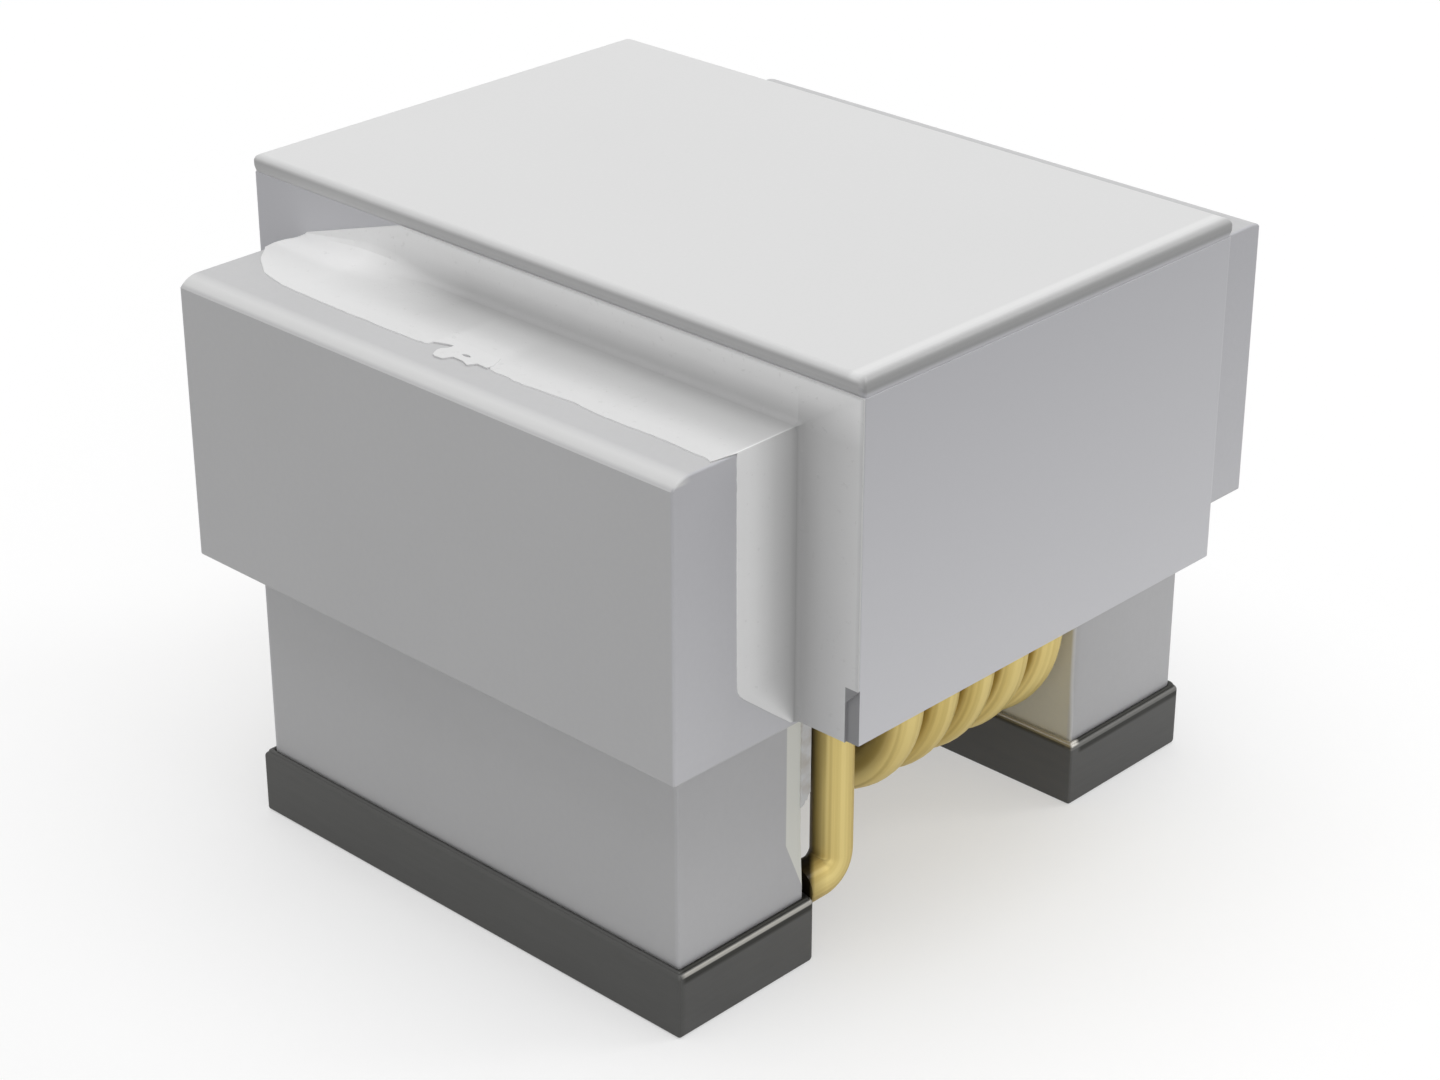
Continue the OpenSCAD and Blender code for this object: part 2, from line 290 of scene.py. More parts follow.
def ease_edge(obj, length, depth):
    """Lower the flange's outer top edge by that depth, along an arc of that length."""
    radius = (length ** 2 + depth ** 2) / (2 * depth)
    lines = [length * k / EDGE_STEPS for k in range(EDGE_STEPS + 1)]
    for out in lines[:-1]:
        cut(obj, "x", core_lo.x + length - out)
    for out in lines[1:]:
        pick_points(obj, lambda p: near(p.x, core_lo.x + length - out) and near(p.z, core_hi.z))
        bpy.ops.transform.translate(value=(0, 0, math.sqrt(radius ** 2 - out ** 2) - radius))
    bpy.ops.object.mode_set(mode="OBJECT")


blocks = []
for name, chamfer_l, edge_l, edge_d in (("ceramic_core_fired", 0.085, 0.075, 0.035),
                                         ("rear_block", 0.03, 0.05, 0.012)):
    blocks.append(end_block(name, chamfer_l))
    chamfer_leg(blocks[-1], chamfer_l)
    ease_edge(blocks[-1], edge_l, edge_d)
    print(name, len(blocks[-1].data.vertices), "points")

# %% [markdown]
# The rear block is turned half round. The web runs a little way into both blocks, so that the union
# of the three has no faces in common to confuse it. Even a fired ceramic has edges of about a
# hundredth of a millimetre that catch the light, and a bevel limited by angle gives them.

# %% Join blocks and web
WEB_Y = 0.8785
WEB_LO, WEB_HI = 0.427, 1.729
WEB_R = 0.327
WEB_END = INNER_X + 0.05
FIRED_R = 0.008

core, rear = blocks
turn_round(rear)
web = block("web", (-WEB_END, -WEB_Y, WEB_LO), (WEB_END, WEB_Y, WEB_HI))
pick_edges_along(web, "x")
round_edges(WEB_R)
bpy.ops.object.mode_set(mode="OBJECT")
boolean(core, web, "UNION")
boolean(core, rear, "UNION")
apply_modifier(core, "BEVEL", width=FIRED_R, segments=3, limit_method="ANGLE",
               angle_limit=math.radians(50), use_clamp_overlap=True)
shade(core, 35)
place(core, "ceramic_core")

# %% [markdown]
# ## The winding
#
# One enamelled copper wire comes up from the front terminal, goes five and a half times round the
# web, and ends at the rear terminal. Every turn goes straight round the web and moves on to its next
# place at the lower edge on the far side. So the path is a chain of bends with straight runs between.

# %% Path of the wire
WIRE_R = 0.0735
WIRE_OFF = 0.0765
LEAD_R, REAR_LEAD_R = 0.08, 0.0935
LEAD_Z = 0.25
PAD_X = 0.685
LEAD_X, COIL_X = -0.5145, -0.1605
PITCH = 0.187
TURNS = [LEAD_X] + [COIL_X + PITCH * k for k in range(5)]
COIL_Y = WEB_Y + WIRE_OFF
COIL_R = WEB_R + WIRE_OFF
SPINE_Y = COIL_Y - COIL_R
TOP_Z, LOW_Z = WEB_HI - WEB_R, WEB_LO + WEB_R


def angles(start, stop, steps):
    """Angles between two in degrees, by equal steps."""
    return [math.radians(start + (stop - start) * k / steps) for k in range(steps + 1)]


def bend(x, y, z, start, stop):
    """Points of a bend round one long edge of the web."""
    return [Vector((x, y + COIL_R * math.cos(a), z + COIL_R * math.sin(a))) for a in angles(start, stop, 16)]


def over_top(x):
    """Half a turn above the web, from the near side to the far one."""
    return bend(x, -SPINE_Y, TOP_Z, 180, 90) + bend(x, SPINE_Y, TOP_Z, 90, 0)


def under_web(x0, x1):
    """Half a turn below the web, which moves on from x0 to x1 round the far edge."""
    far = bend(0, SPINE_Y, LOW_Z, 0, -90)
    for k, point in enumerate(far):
        t = k / (len(far) - 1)
        point.x = x0 + (x1 - x0) * t * t * (3 - 2 * t)
    return far + bend(x1, -SPINE_Y, LOW_Z, -90, -180)


def lead(x, y, end_x, radius):
    """From the terminal's inner face round a quarter bend to the foot of a turn."""
    way = math.copysign(1, end_x - x)
    middle = Vector((x + way * radius, y, LEAD_Z + radius))
    return [Vector((end_x, y, LEAD_Z))] + [
        middle + radius * Vector((-way * math.sin(a), 0, -math.cos(a))) for a in angles(0, 90, 14)]


path = lead(LEAD_X, -COIL_Y, -PAD_X, LEAD_R) + over_top(LEAD_X)
for here, following in zip(TURNS, TURNS[1:]):
    path += under_web(here, following) + over_top(following)
path += lead(TURNS[-1], COIL_Y, PAD_X, REAR_LEAD_R)[::-1]
length = sum((b - a).length for a, b in zip(path, path[1:]))
print("wire", round(length, 2), "mm long,", len(path), "points")

# %% [markdown]
# A wire is a curve with a round bevel. The path's points are set one by one, which a poly spline
# takes as they are, and the curve is made a mesh so that its points can carry values.

# %% Wire
clear()
bpy.ops.curve.primitive_nurbs_path_add(location=(0, 0, 0))
wire = added("winding_enamelled")
wire.data.splines.clear()
spline = wire.data.splines.new("POLY")
spline.points.add(len(path) - 1)
for point, spot in zip(spline.points, path):
    point.co = (*spot, 1)
wire.data.twist_mode = "MINIMUM"
wire.data.bevel_depth = WIRE_R
wire.data.bevel_resolution = 10
wire.data.use_fill_caps = True
only(wire)
bpy.ops.object.convert(target="MESH")
bpy.ops.object.shade_smooth_by_angle(angle=math.radians(40))
sides = len(wire.data.vertices) // len(path)
print("wire", sides, "sides,", len(wire.data.vertices) - sides * len(path), "points over")

# %% [markdown]
# The die that drew the wire left fine marks along it, so every point keeps where it lies on the
# wire: round it as a cosine and a sine, which have no seam, and along it in millimetres. The seams
# between the turns get painted shade, so a second value tells how far a point lies on the inner
# flank, turned to the turn before and to the web. A tree of the path's points finds the one that a
# point of the mesh belongs to, because the end caps have points of their own.

# %% Where each point lies on the wire
INWARD = Vector((-0.72, 0.69, 0))
travel = [0.0]
for a, b in zip(path, path[1:]):
    travel.append(travel[-1] + (b - a).length)
wire.data.attributes.new("lay", "FLOAT_VECTOR", "POINT")
wire.data.attributes.new("seam", "FLOAT", "POINT")
lay, seam = wire.data.attributes["lay"], wire.data.attributes["seam"]
rings = kdtree.KDTree(len(path))
for k, spot in enumerate(path):
    rings.insert(spot, k)
rings.balance()
for k, vertex in enumerate(wire.data.vertices):
    ring = rings.find(vertex.co)[1]
    turn = 2 * math.pi * (k % sides) / sides
    lay.data[k].vector = (math.cos(turn), math.sin(turn), travel[ring])
    seam.data[k].value = max(0.0, INWARD.dot(vertex.co - path[ring])) / WIRE_R
place(wire, "winding")

# %% [markdown]
# ## Rings stacked on a rectangle
#
# The terminals and the cap are both boxes whose section changes with height: a foot, a straight
# wall, a bead or a rolled edge. On a lathe one would draw that profile once. Here a rectangle with
# rounded corners is extruded ring by ring, and every ring is scaled so that it stands so far in or
# out from the wall.


# %% Rings
def arc(offset, height, radius, start, stop, steps):
    """Points of an arc in the plane of offset and height, between two angles in degrees."""
    return [(offset + radius * math.cos(a), height + radius * math.sin(a))
            for a in angles(start, stop, steps)]


def ringed_box(name, lo, hi, front_r, rear_r, profile):
    """A closed box whose wall follows (offset, height) points, with two radii on its upright edges."""
    lo, hi = Vector(lo), Vector(hi)
    middle, half = (lo + hi) / 2, (hi - lo) / 2
    obj = block(name, lo, hi)
    for side, radius in ((-1, front_r), (1, rear_r)):
        pick_edges_along(obj, "z", lambda p: near(p.x, middle.x + side * half.x))
        round_edges(radius, 6)
    pick_faces(obj, lambda c, n: n.z < 0.9)
    bpy.ops.mesh.delete(type="FACE")
    pick_faces(obj, lambda c, n: True)
    was, level = 0.0, hi.z
    for step, (offset, height) in enumerate(profile):
        if step:
            extrude((0, 0, 0))
        bpy.ops.transform.resize(
            value=((half.x + offset) / (half.x + was), (half.y + offset) / (half.y + was), 1),
            center_override=middle)
        bpy.ops.transform.translate(value=(0, 0, height - level))
        was, level = offset, height
    face_outwards()
    return obj


# %% [markdown]
# ## The terminals
#
# Each foot stands in a cup of dark plated metal. Its wall leans in at the top to a round shoulder,
# and the plating ends in a fine bead with a groove between it and the ceramic.

# %% Terminals
CUP_WALL = 0.03
CUP_BASE = 0.03
FOOT_R = 0.012
SHOULDER_R = 0.02
SHOULDER_DROP = 0.019
BEAD_R = 0.008
BEAD_IN = 0.018
CUP_FRONT_R, CUP_REAR_R = 0.008, 0.024

cups = []
for end in ("front", "rear"):
    lo, hi = box_mm(end + "_terminal")
    bead_z = hi.z - BEAD_R
    profile = arc(-FOOT_R, lo.z + FOOT_R, FOOT_R, -90, 0, 3)
    profile += arc(-SHOULDER_R, bead_z - SHOULDER_DROP, SHOULDER_R, 0, 50, 5)
    profile += arc(-BEAD_IN, bead_z, BEAD_R, -10, 170, 9)
    profile += [(-0.027, bead_z - 0.006), (-CUP_WALL, bead_z - BEAD_R), (-CUP_WALL, CUP_BASE)]
    cup = ringed_box(end + "_terminal_plated", lo, hi, CUP_FRONT_R, CUP_REAR_R, profile)
    shade(cup, 50)
    place(cup, end + "_terminal")
    cups.append(cup)

# %% [markdown]
# ## The cap
#
# The cap is moulded: a saddle over both flanges whose flat top ends in a rolled rim. The roll bulges
# by a few thousandths of a millimetre, and its lower half curls back into a fine groove above the
# walls. The ring profile draws all that, and a channel cut through the underside makes the saddle.

# %% Cap body
RIM_STEP, RIM_H = 0.002, 0.063
ROLL_R, ROLL_DROP = 0.03, 0.038
ROLL_TOP_R = 0.024
LEDGE_R = 0.003
CAP_FRONT_R, CAP_REAR_R = 0.006, 0.014
BOND = 0.005
WALL_X = cap_hi.x - RIM_STEP
WALL_Y = cap_hi.y - RIM_STEP
WALL_Z = cap_hi.z - RIM_H

profile = arc(-RIM_STEP - LEDGE_R, cap_lo.z + LEDGE_R, LEDGE_R, -90, 0, 3)
profile += arc(-RIM_STEP - LEDGE_R, WALL_Z - LEDGE_R, LEDGE_R, 0, 90, 3)
profile += arc(-ROLL_R, cap_hi.z - ROLL_DROP, ROLL_R, -20, 0, 4)
profile += arc(-ROLL_TOP_R, cap_hi.z - ROLL_TOP_R, ROLL_TOP_R, 0, 90, 8)
cap = ringed_box("top_cap_moulded", cap_lo, cap_hi, CAP_FRONT_R, CAP_REAR_R, profile)
channel = block("channel", (cap_lo.x - 1, core_lo.y - BOND, 0),
                (cap_hi.x + 1, core_hi.y + BOND, core_hi.z + BOND))
boolean(cap, channel, "DIFFERENCE")
print("cap", len(cap.data.polygons), "faces after the channel")

# %% [markdown]
# The cap's lower front corner has a small notch with a slanting top. The same cutter is kept for
# the resin, because the resin is missing there too.

# %% Notch
NOTCH_Y = -WALL_Y + 0.05
NOTCH_TOP = cap_lo.z + 0.195
NOTCH_FALL = 0.055
NOTCH_D = 0.004

notch = block("notch", (-WALL_X - 0.2, -WALL_Y - 0.1, cap_lo.z - 0.1),
              (-WALL_X + NOTCH_D, NOTCH_Y, NOTCH_TOP))
cut(notch, "y", -WALL_Y)
pick_points(notch, lambda p: near(p.z, NOTCH_TOP) and near(p.y, NOTCH_Y))
bpy.ops.transform.translate(value=(0, 0, -NOTCH_FALL))
bpy.ops.object.mode_set(mode="OBJECT")
boolean(cap, notch, "DIFFERENCE", keep=True)
shade(cap, 40)
place(cap, "top_cap")

# %% [markdown]
# ## The resin
#
# Resin was run along the joint of cap and flange. It lies on the flange as a film hardly thicker
# than a coat of paint, turns up in a hollow and climbs the cap's end to just under the roll. One
# could sculpt it, but a strip is plainer: a grid has one row of points for each place along the
# joint, and its columns follow the section from the lip to the rim and back along the ceramic.

# %% Section of the resin
FLANGE_Y, FLANGE_Z = core_hi.y, core_hi.z
FILM_EDGE = 0.004
FILM_T = 0.007
COAT_T = 0.006
LIP = [(0.0, 0.0), (0.0006, 0.6), (0.002, 0.92), (0.005, 1.0)]
FILM_STEPS = 10
SLOPE_STEPS = 16


def slope_point(foot, t):
    """A small hollow and a straight climb: distance from the cap, and share of the height."""
    hollow = 4 * foot
    if t < 0.25:
        turn = 2 * math.pi * t
        return foot - (foot - COAT_T) * math.sin(turn), hollow * (1 - math.cos(turn))
    return COAT_T, hollow + (1 - hollow) * (t - 0.25) / 0.75


def section(reach, foot):
    """Rows of (distance from the cap, lift off the flange, share of the climb)."""
    rows = [(reach - inset, FILM_EDGE * share, 0.0) for inset, share in LIP]
    start = rows[-1][0]
    for k in range(1, FILM_STEPS + 1):
        share = k / FILM_STEPS
        rows.append((start + (foot - start) * share, FILM_EDGE + (FILM_T - FILM_EDGE) * share, 0.0))
    for k in range(1, SLOPE_STEPS + 1):
        out, climb = slope_point(foot, k / SLOPE_STEPS)
        rows.append((out, FILM_T * (1 - climb), climb))
    return rows + [(0.0, 0.0, 1.0), (0.0, 0.0, 0.0), (reach, 0.0, 0.0)]


print("section of", len(section(0.3, 0.08)), "rows")

# %% [markdown]
# The free edge isn't straight: it wanders, is rounded off at one end and is slightly ragged. A few
# places along the flange set how far it reaches, and smooth noise, which is the same on every
# run, roughens the line between them. At the far end the resin thins out to a narrow bead. In the
# middle of the front the lip stands back, where a flap will be joined on; the rear strip has no flap.

# %% Places along the joint
TOP_REACH = [(-1.15, 0.275), (-1.1385, 0.378), (-1.11, 0.364), (-0.91, 0.358), (-0.66, 0.365),
             (-0.54, 0.352), (-0.33, 0.366), (-0.17, 0.36), (-0.12, 0.3), (0.1, 0.3), (0.13, 0.36),
             (0.33, 0.363), (0.6, 0.363), (0.84, 0.355), (0.97, 0.329), (1.09, 0.248), (1.15, 0.178)]
SIDE_REACH = [(1.06, 0.03), (1.223, 0.235), (1.24, 0.256), (1.271, 0.272), (1.7, 0.275), (2.07, 0.275)]
TOP_FOOT = [(-1.15, 0.03), (0.5, 0.03), (0.85, 0.13), (1.15, 0.13)]
SIDE_FOOT = 0.02
FOOT_Z = cap_lo.z
THIN_Y = 0.65
FALL = 0.314
BEAD_Y = 0.06
FAR_REACH, FAR_SPREAD = 0.08, 0.096
SIDE_ROWS, TOP_ROWS, FAR_ROWS = 60, 200, 20


def between(table, at):
    """Straight line between the places of a table."""
    for (a, low), (b, high) in zip(table, table[1:]):
        if at <= b:
            return low + (high - low) * (at - a) / (b - a)
    return table[-1][1]


def ragged(at, seed):
    """How far the free edge strays there."""
    return 0.004 * noise.noise((11 * at, seed, 0)) + 0.003 * noise.noise((37 * at, seed, 5))


def stations(top_reach):
    """Place on the flange, way out, reach, foot and place on the cap, from -y over the top to +y."""
    rise = (WALL_Z - FOOT_Z) / (FLANGE_Z - FOOT_Z)
    rows = []
    for k in range(SIDE_ROWS):
        z = FOOT_Z + (FLANGE_Z - FOOT_Z) * k / SIDE_ROWS
        reach = between(SIDE_REACH, z) + ragged(z, 3) * 0.5
        rows.append(((-FLANGE_Y, z), (-1, 0), reach, SIDE_FOOT, (-WALL_Y, FOOT_Z + rise * (z - FOOT_Z))))
    for k in range(TOP_ROWS + 1):
        y = FLANGE_Y * (2 * k / TOP_ROWS - 1)
        share = (y + FLANGE_Y) / (THIN_Y + FLANGE_Y)
        rim = (y, WALL_Z - FALL * (y - THIN_Y))
        if share < 1:
            rim = (-WALL_Y + share * (THIN_Y + WALL_Y), WALL_Z)
        if k == TOP_ROWS:
            rim = (FLANGE_Y + BEAD_Y, FLANGE_Z - BEAD_Y)
        out = ((k == TOP_ROWS) - (k == 0), 1)
        reach = between(top_reach, y) + ragged(y, 0)
        rows.append(((y, FLANGE_Z), out, reach, between(TOP_FOOT, y), rim))
    for k in range(1, FAR_ROWS + 1):
        z = FLANGE_Z + (FOOT_Z - FLANGE_Z) * k / FAR_ROWS
        reach = FAR_REACH + FAR_SPREAD * (1 - k / FAR_ROWS) ** 4
        rim = (FLANGE_Y + BEAD_Y, max(FOOT_Z, z - BEAD_Y))
        rows.append(((FLANGE_Y, z), (1, 0), reach, SIDE_FOOT, rim))
    return rows


print(len(stations(TOP_REACH)), "places along the joint")

# %% [markdown]
# The strip itself starts as a flat grid, which also brings a map that runs across the section. Its
# points are moved to the stations, the rows where the section meets itself are merged, and the two
# open ends are filled.


# %% Strip of resin
def resin_strip(name, top_reach):
    """A grid laid through the stations, closed to a solid strip."""
    clear()
    spots = stations(top_reach)
    rows = [section(reach, foot) for _, _, reach, foot, _ in spots]
    across, lanes = len(spots) - 1, len(rows[0]) - 1
    bpy.ops.mesh.primitive_grid_add(x_subdivisions=across, y_subdivisions=lanes, size=1, calc_uvs=True)
    strip = added(name)
    for vertex in strip.data.vertices:
        i, j = round((vertex.co.x + 0.5) * across), round((vertex.co.y + 0.5) * lanes)
        (y, z), (out_y, out_z), _, _, (rim_y, rim_z) = spots[i]
        off, lift, climb = rows[i][j]
        vertex.co = (-WALL_X - off,
                     y + out_y * lift + (rim_y - y) * climb,
                     z + out_z * lift + (rim_z - z) * climb)
    edit_all(strip)
    bpy.ops.mesh.remove_doubles(threshold=1e-5)
    bpy.ops.mesh.select_mode(type="EDGE")
    bpy.ops.mesh.select_all(action="DESELECT")
    bpy.ops.mesh.select_non_manifold(extend=False, use_boundary=True, use_wire=False,
                                     use_multi_face=False, use_non_contiguous=False, use_verts=False)
    bpy.ops.mesh.edge_face_add()
    face_outwards()
    return strip


FLAP_HALF = 0.14
resin = resin_strip("front_resin_run_out", TOP_REACH)
rear_resin = resin_strip("rear_resin_run_out", [spot for spot in TOP_REACH if abs(spot[0]) > FLAP_HALF])
turn_round(rear_resin)
boolean(resin, notch, "DIFFERENCE")
print("resin", len(resin.data.polygons), "faces after the notch")

# %% [markdown]
# In the middle of the front flange a drop ran further and set as a thin flap with a slit at one end
# and a small hole. Some resin also ran down the leg's inner edge and set there as a ragged skin. Each
# is an outline of points that is filled and extruded, and both join the strip.

# %% Flap and skin
FLAP = [(-1.25, 0.123), (-1.229, 0.071), (-1.225, 0.046), (-1.249, 0.048), (-1.266, 0.062),
        (-1.283, 0.063), (-1.314, 0.048), (-1.321, 0.032), (-1.318, -0.001), (-1.286, -0.017),
        (-1.287, -0.063), (-1.3, -0.095), (-1.271, -0.114), (-1.273, -0.158), (-1.247, -0.163),
        (-1.195, -0.138), (-1.188, 0.012), (-1.195, 0.112)]
FLAP_LIFT, FLAP_T = 0.0003, 0.0055
SKIN = [(-0.725, 0.592), (-0.709, 0.598), (-0.702, 0.612), (-0.696, 0.608), (-0.688, 0.628),
        (-0.679, 0.634), (-0.679, 1.03), (-0.725, 1.03)]
SKIN_Y, SKIN_T = 0.004 - LEG_Y, 0.012


def sheet(name, points, thickness):
    """A filled ring of points and its thickness."""
    clear()
    bpy.ops.mesh.primitive_circle_add(vertices=len(points), radius=1, fill_type="NGON", location=(0, 0, 0))
    obj = added(name)
    for vertex, spot in zip(obj.data.vertices, points):
        vertex.co = spot
    edit_all(obj)
    extrude(thickness)
    face_outwards()
    return obj


flap = sheet("flap", [(x, y, FLANGE_Z + FLAP_LIFT) for x, y in FLAP], (0, 0, FLAP_T))
skin = sheet("skin", [(x, SKIN_Y, z) for x, z in SKIN], (0, SKIN_T, 0))
print("flap", len(flap.data.vertices), "points, skin", len(skin.data.vertices))

# %% [markdown]
# The hole is a squeezed cylinder, cut from the flap. Flap and skin both take the tone of the free
# film, so all their corners go to that one lane of the strip's map.

# %% Hole in the flap
HOLE_AT = (-1.252, -0.042)
HOLE_HALF = (0.0075, 0.018)
FREE_LANE = 0.06

clear()
bpy.ops.mesh.primitive_cylinder_add(vertices=20, radius=1, depth=0.2, location=(0, 0, 0))
hole = added("hole")
edit_all(hole)
bpy.ops.transform.resize(value=(*HOLE_HALF, 1), center_override=(0, 0, 0))
bpy.ops.transform.translate(value=(*HOLE_AT, FLANGE_Z))
bpy.ops.object.mode_set(mode="OBJECT")
boolean(flap, hole, "DIFFERENCE")
for piece in (flap, skin):
    for corner in piece.data.uv_layers.active.data:
        corner.uv = (0.5, FREE_LANE)
print("flap", len(flap.data.polygons), "faces with its hole")

# %% [markdown]
# Flap and skin set as one with the strip, so they are joined to it and not left as pieces of their
# own. The ragged edges keep their corners, and only the gentle bends are shaded smooth.

# %% Join them and shade
only(resin)
flap.select_set(True)
skin.select_set(True)
bpy.ops.object.join()
for piece, node in ((resin, "front_resin_fillet"), (rear_resin, "rear_resin_fillet")):
    only(piece)
    bpy.ops.object.shade_smooth_by_angle(angle=math.radians(28))
    place(piece, node)

# %% [markdown]
# ## Shader sums
#
# A finish is a sum of a few patterns. Written as Python expressions the sum can be read, so one
# small class wraps a socket, and each operator on it adds the Math node that does that step.


# %% Sockets in sums
class Link:
    """One socket of a material's tree: 0.3 + 0.7 * grain adds the Math nodes."""

    def __init__(self, tree, socket=None):
        self.tree = tree
        self.socket = socket

    def node(self, kind, settings=(), values=(), out=0):
        """Add a node, make its settings, fill or link its sockets, and hand back one output."""
        made = self.tree.nodes.new(kind)
        for name, value in dict(settings).items():
            if name == "stops":
                while len(made.color_ramp.elements) < len(value):
                    made.color_ramp.elements.new(0.5)
                for element, (position, shade) in zip(made.color_ramp.elements, value):
                    element.position = position
                    element.color = (shade, shade, shade, 1)
            else:
                setattr(made, name, value)
        for name, value in dict(values).items():
            if isinstance(value, Link):
                self.tree.links.new(value.socket, made.inputs[name])
            else:
                made.inputs[name].default_value = value
        return Link(self.tree, made.outputs[out])

    def sum(self, operation, a, b):
        return self.node("ShaderNodeMath", {"operation": operation}, {0: a, 1: b})

    def __add__(self, other):
        return self.sum("ADD", self, other)

    def __sub__(self, other):
        return self.sum("SUBTRACT", self, other)

    def __rsub__(self, other):
        return self.sum("SUBTRACT", other, self)

    def __mul__(self, other):
        return self.sum("MULTIPLY", self, other)

    def __abs__(self):
        return self.sum("ABSOLUTE", self, 0)

    __radd__ = __add__
    __rmul__ = __mul__


# %% [markdown]
# Patterns are read from Object coordinates, which are metres here, so a Mapping node turns them to
# millimetres first. Then a scale of 50 simply means fifty lumps to the millimetre, and the three
# axes by themselves tell where on the part a finish changes.


# %% Helpers for finishes
def new_finish(name):
    """A material, its shader, and places on the piece in millimetres."""
    material = bpy.data.materials.new(name)
    material.use_nodes = True
    spot = Link(material.node_tree).node("ShaderNodeTexCoord", out="Object")
    return material, material.node_tree.nodes["Principled BSDF"], stretched(spot, (1 / MM,) * 3)


def stretched(spot, scale):
    """Places drawn out or squeezed along the axes."""
    return spot.node("ShaderNodeMapping", values={"Vector": spot, "Scale": scale})


def axes(grid):
    """The three axes of a place, each as a Link."""
    return [grid.node("ShaderNodeSeparateXYZ", values={0: grid}, out=k) for k in range(3)]


def feed(shader, values):
    """Set or link the shader's own sockets."""
    for name, value in values.items():
        if isinstance(value, Link):
            value.tree.links.new(value.socket, shader.inputs[name])
        else:
            shader.inputs[name].default_value = value


def cloud(grid, scale, detail=2.0, rough=0.5):
    """Soft noise between 0 and 1, with so many lumps to the millimetre."""
    return grid.node("ShaderNodeTexNoise", values={
        "Vector": grid, "Scale": scale, "Detail": detail, "Roughness": rough}, out="Fac")


def blend(amount, a, b):
    """Between two colours by an amount that changes over the surface."""
    return amount.node("ShaderNodeMix", {"data_type": "RGBA"}, {0: amount, 6: a, 7: b}, out=2)


def ramp(value, start, stop):
    """0 at start, 1 at stop, a straight slope between them, and level beyond."""
    return value.node("ShaderNodeMapRange", {"clamp": True},
                      {"Value": value, "From Min": start, "From Max": stop})


def tones(value, stops):
    """Greys between stops of (value, level)."""
    return value.node("ShaderNodeValToRGB", {"stops": stops}, {"Fac": value})


def relief(height, depth):
    """A bump of that depth, in millimetres."""
    return height.node("ShaderNodeBump", values={"Height": height, "Strength": 1.0, "Distance": depth * MM},
                       out="Normal")


def grey(level, blue=0.0):
    """A grey, a little cooler by the share blue."""
    return (level, level, level * (1 + blue), 1)


def dress(material, *pieces):
    """Give the pieces their finish."""
    for piece in pieces:
        piece.data.materials.append(material)
    print(material.name, len(material.node_tree.nodes), "nodes, on", [piece.name for piece in pieces])


# %% [markdown]
# The fired ceramic is matt and very fine-grained, a neutral grey with faint clouds. The eased edge of
# the front flange has a painted highlight band. The flanges' sides have painted light from the floor:
# paler towards the foot, and darker and a little cooler towards the top. The strip along the chamfer of
# the front leg is pale. The rear leg's inner face has painted warm fill light, so it is paler and warmer,
# and a painted highlight line runs along its upright edge. Each of these is a mask: a product of ramps
# over the axes.

# %% Ceramic
material, shader, grid = new_finish("fired_ceramic")
x, y, z = axes(grid)
grain = cloud(grid, 48, 3, 0.6)
# painted highlight band on the front flange's eased outer top edge
painted_highlight_band = ramp(x, -1.38, -1.42) * ramp(z, 2.040, 2.048)
side = ramp(abs(y), FLANGE_Y - 0.01, FLANGE_Y - 0.004)
leg = ramp(abs(y), LEG_Y - 0.02, LEG_Y - 0.012) * ramp(z, core_hi.z / 2 + 0.02, core_hi.z / 2)
inner = ramp(abs(x - INNER_X), 0.006, 0.003) * ramp(z, 0.9, 0.8)
painted_highlight_line = leg * ramp(abs(x), INNER_X + 0.012, INNER_X + 0.006) * ramp(x, 0, 0.01)
run_out = z - 2.35 * (-INNER_X - x)
strip = ramp(x, -0.803, -0.798) * ramp(run_out, CHAMFER_TIP - 0.003, CHAMFER_TIP + 0.003)
strip = strip * ramp(x, -INNER_X + 0.02, -INNER_X + 0.01) * ramp(y, -LEG_Y + 0.03, -LEG_Y + 0.02)
body = blend(cloud(grid, 1.1, 3), grey(0.54, 0.01), grey(0.58, 0.01))
# painted light from the floor on the flanges' sides: paler towards the foot, darker and cooler at the top
body = blend(side, body, blend(ramp(z, 1.1, 2.0), grey(0.645, 0.04), grey(0.54, 0.05)))
body = blend(leg, body, grey(0.60, 0.02))
# painted warm fill light on the rear leg's inner face, which lies in shade under the cap
body = blend(inner, body, (0.77, 0.755, 0.67, 1))
# painted highlight line along the rear leg's upright inner edge
body = blend(painted_highlight_line, body, grey(0.74))
body = blend(0.10 * grain, body, grey(0.4))
body = blend(strip, body, (0.88, 0.885, 0.82, 1))
feed(shader, {"Base Color": blend(painted_highlight_band, body, grey(0.695)),
              "Roughness": 0.42 + 0.16 * grain,
              "Normal": relief(grain, 0.0005)})
dress(material, core)

# %% [markdown]
# The cap is smoother than the ceramic: a moulding compound with a soft gloss, a faint flow pattern
# and hardly any grain. Its walls have painted light from the floor, so they are paler towards the foot.
# The curl of the roll has painted shade, darkest on the near side, and the face in the notch is darker
# too. A painted highlight runs as a faint pale line along the top beside the near edge.

# %% Cap plastic
material, shader, grid = new_finish("moulded_cap")
x, y, z = axes(grid)
flow = cloud(grid, 0.9, 2)
fine = cloud(grid, 70, 2, 0.6)
# painted light from the floor: the walls are paler towards the foot
wall = blend(ramp(z, WALL_Z, cap_lo.z), grey(0.555, 0.05), grey(0.715, 0.04))
